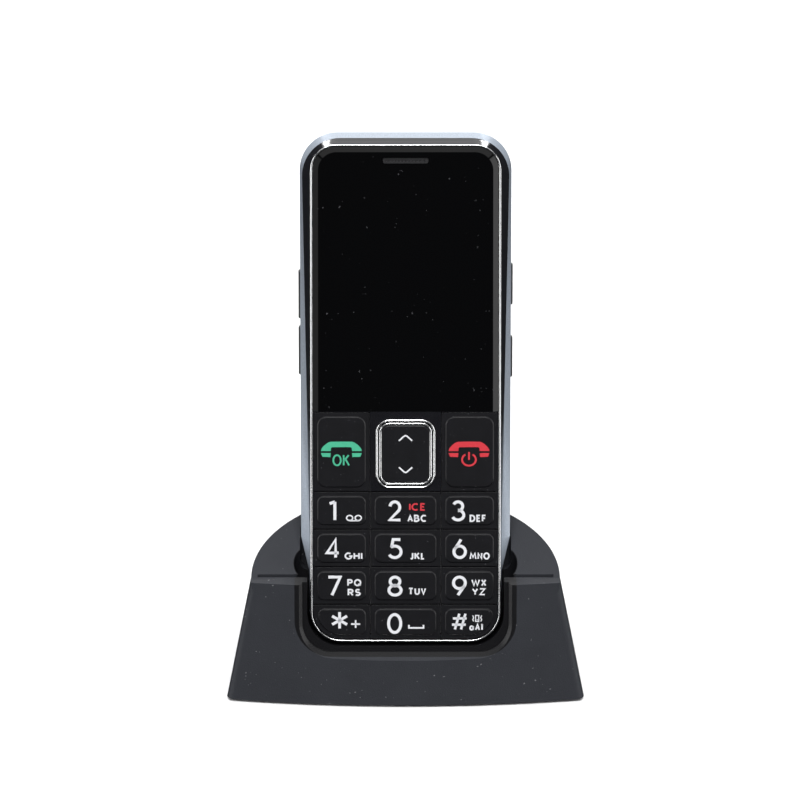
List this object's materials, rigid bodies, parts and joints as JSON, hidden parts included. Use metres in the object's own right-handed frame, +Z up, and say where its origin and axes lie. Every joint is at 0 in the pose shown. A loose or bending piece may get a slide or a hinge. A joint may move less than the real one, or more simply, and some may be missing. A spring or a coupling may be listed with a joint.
{
  "type": "feature phone",
  "caption": "Bar-shaped feature phone with large keys, leaning in a wedge-shaped charging dock.",
  "frame": {"origin": "centre of the dock's footprint on the surface that it stands on", "axes": "+Z up, +X to the right as seen from the front, the keypad and display face -Y"},
  "size_m": [0.0974, 0.062, 0.1465],
  "materials": {
    "gloss_black": "polished black",
    "bright_trim": "bright plated",
    "window": "glass-smooth black",
    "fine_mesh": "dark mesh",
    "dark_parts": "moulded",
    "display": "display glass",
    "key_black": "satin black keys with printed marks",
    "mat_rubber": "silicone",
    "steel": "stamped",
    "board_green": "circuit board",
    "blue_grey": "metallic paint",
    "battery_wrap": "plain wrap",
    "gold_contact": "gold plated",
    "cover_black": "fine texture",
    "clear_lens": "clear",
    "dock_black": "fine spark-eroded texture",
    "foot_rubber": "soft",
    "button_black": "satin",
    "wire_coat": "insulated"
  },
  "bodies": {
    "dock": {"dock_shell": "dock_black", "dock_base_plate": "dock_black", "dock_feet": "foot_rubber", "dock_screws": "steel", "dock_socket": "steel", "socket_board": "board_green", "pin_board": "board_green", "pin_barrels": "gold_contact", "dock_wires": "wire_coat"},
    "phone": {"front_housing": "gloss_black", "bezel_ring": "bright_trim", "display_window": "window", "earpiece_mesh": "fine_mesh", "earpiece_receiver": "dark_parts", "display_module": "display", "nav_ring": "bright_trim", "keypad_mat": "mat_rubber", "dome_sheet": "steel", "main_board": "board_green", "rf_shield": "steel", "microphone": "steel", "rear_housing": "blue_grey", "side_switches": "dark_parts", "battery": "battery_wrap", "battery_contacts": "gold_contact", "camera_module": "dark_parts", "torch_lens": "clear_lens", "loudspeaker": "dark_parts", "vibration_motor": "steel", "sim_socket": "steel", "memory_card_socket": "steel", "usb_port": "steel", "charge_pads": "gold_contact", "antenna": "dark_parts", "housing_screws": "steel"},
    "back_cover": {"battery_cover": "cover_black", "camera_window": "window"},
    "nav_rocker": {"key_nav": "key_black", "nav_trim": "bright_trim"},
    "left_pin": {"pin_left": "gold_contact"},
    "right_pin": {"pin_right": "gold_contact"},
    "vibrator_rotor": {"motor_weight": "steel"},
    "key_call_body": {"key_call": "key_black"},
    "key_end_body": {"key_end": "key_black"},
    "key_1_body": {"key_1": "key_black"},
    "key_2_body": {"key_2": "key_black"},
    "key_3_body": {"key_3": "key_black"},
    "key_4_body": {"key_4": "key_black"},
    "key_5_body": {"key_5": "key_black"},
    "key_6_body": {"key_6": "key_black"},
    "key_7_body": {"key_7": "key_black"},
    "key_8_body": {"key_8": "key_black"},
    "key_9_body": {"key_9": "key_black"},
    "key_star_body": {"key_star": "key_black"},
    "key_0_body": {"key_0": "key_black"},
    "key_hash_body": {"key_hash": "key_black"},
    "volume_up_button_body": {"volume_up_button": "button_black"},
    "volume_down_button_body": {"volume_down_button": "button_black"},
    "torch_button_body": {"torch_button": "button_black"},
    "camera_button_body": {"camera_button": "button_black"}
  },
  "joints": [
    {"name": "phone_lift", "type": "slide", "parent": "dock", "child": "phone", "axis": [0, 0.2924, 0.9563], "range_m": [0, 0.06]},
    {"name": "cover_slide", "type": "slide", "parent": "phone", "child": "back_cover", "axis": [0, 0.2924, 0.9563], "range_m": [0, 0.14]},
    {"name": "nav_tilt", "type": "hinge", "parent": "phone", "child": "nav_rocker", "pos_m": [0, -0.00613, 0.06537], "axis": [1, 0, 0], "range_deg": [-3, 3], "stiffness_Nm_per_rad": 0.3},
    {"name": "vibrator_spin", "type": "hinge", "parent": "phone", "child": "vibrator_rotor", "pos_m": [-0.012, 0.0185, 0.12268], "axis": [0, 0.2924, 0.9563], "continuous": true},
    {"name": "key_call_press", "type": "slide", "parent": "phone", "child": "key_call_body", "axis": [0, 0.9563, -0.2924], "range_m": [0, 0.00045], "stiffness_N_per_m": 3000},
    {"name": "key_end_press", "type": "slide", "parent": "phone", "child": "key_end_body", "axis": [0, 0.9563, -0.2924], "range_m": [0, 0.00045], "stiffness_N_per_m": 3000},
    {"name": "key_1_press", "type": "slide", "parent": "phone", "child": "key_1_body", "axis": [0, 0.9563, -0.2924], "range_m": [0, 0.00045], "stiffness_N_per_m": 3000},
    {"name": "key_2_press", "type": "slide", "parent": "phone", "child": "key_2_body", "axis": [0, 0.9563, -0.2924], "range_m": [0, 0.00045], "stiffness_N_per_m": 3000},
    {"name": "key_3_press", "type": "slide", "parent": "phone", "child": "key_3_body", "axis": [0, 0.9563, -0.2924], "range_m": [0, 0.00045], "stiffness_N_per_m": 3000},
    {"name": "key_4_press", "type": "slide", "parent": "phone", "child": "key_4_body", "axis": [0, 0.9563, -0.2924], "range_m": [0, 0.00045], "stiffness_N_per_m": 3000},
    {"name": "key_5_press", "type": "slide", "parent": "phone", "child": "key_5_body", "axis": [0, 0.9563, -0.2924], "range_m": [0, 0.00045], "stiffness_N_per_m": 3000},
    {"name": "key_6_press", "type": "slide", "parent": "phone", "child": "key_6_body", "axis": [0, 0.9563, -0.2924], "range_m": [0, 0.00045], "stiffness_N_per_m": 3000},
    {"name": "key_7_press", "type": "slide", "parent": "phone", "child": "key_7_body", "axis": [0, 0.9563, -0.2924], "range_m": [0, 0.00045], "stiffness_N_per_m": 3000},
    {"name": "key_8_press", "type": "slide", "parent": "phone", "child": "key_8_body", "axis": [0, 0.9563, -0.2924], "range_m": [0, 0.00045], "stiffness_N_per_m": 3000},
    {"name": "key_9_press", "type": "slide", "parent": "phone", "child": "key_9_body", "axis": [0, 0.9563, -0.2924], "range_m": [0, 0.00045], "stiffness_N_per_m": 3000},
    {"name": "key_star_press", "type": "slide", "parent": "phone", "child": "key_star_body", "axis": [0, 0.9563, -0.2924], "range_m": [0, 0.00045], "stiffness_N_per_m": 3000},
    {"name": "key_0_press", "type": "slide", "parent": "phone", "child": "key_0_body", "axis": [0, 0.9563, -0.2924], "range_m": [0, 0.00045], "stiffness_N_per_m": 3000},
    {"name": "key_hash_press", "type": "slide", "parent": "phone", "child": "key_hash_body", "axis": [0, 0.9563, -0.2924], "range_m": [0, 0.00045], "stiffness_N_per_m": 3000},
    {"name": "volume_up_button_press", "type": "slide", "parent": "phone", "child": "volume_up_button_body", "axis": [1, 0, 0], "range_m": [0, 0.0004], "stiffness_N_per_m": 3000},
    {"name": "volume_down_button_press", "type": "slide", "parent": "phone", "child": "volume_down_button_body", "axis": [1, 0, 0], "range_m": [0, 0.0004], "stiffness_N_per_m": 3000},
    {"name": "torch_button_press", "type": "slide", "parent": "phone", "child": "torch_button_body", "axis": [-1, 0, 0], "range_m": [0, 0.0004], "stiffness_N_per_m": 3000},
    {"name": "camera_button_press", "type": "slide", "parent": "phone", "child": "camera_button_body", "axis": [-1, 0, 0], "range_m": [0, 0.0004], "stiffness_N_per_m": 3000},
    {"name": "left_pin_press", "type": "slide", "parent": "dock", "child": "left_pin", "axis": [0, -0.2924, -0.9563], "range_m": [0, 0.0005], "stiffness_N_per_m": 1000},
    {"name": "right_pin_press", "type": "slide", "parent": "dock", "child": "right_pin", "axis": [0, -0.2924, -0.9563], "range_m": [0, 0.0005], "stiffness_N_per_m": 1000}
  ]
}
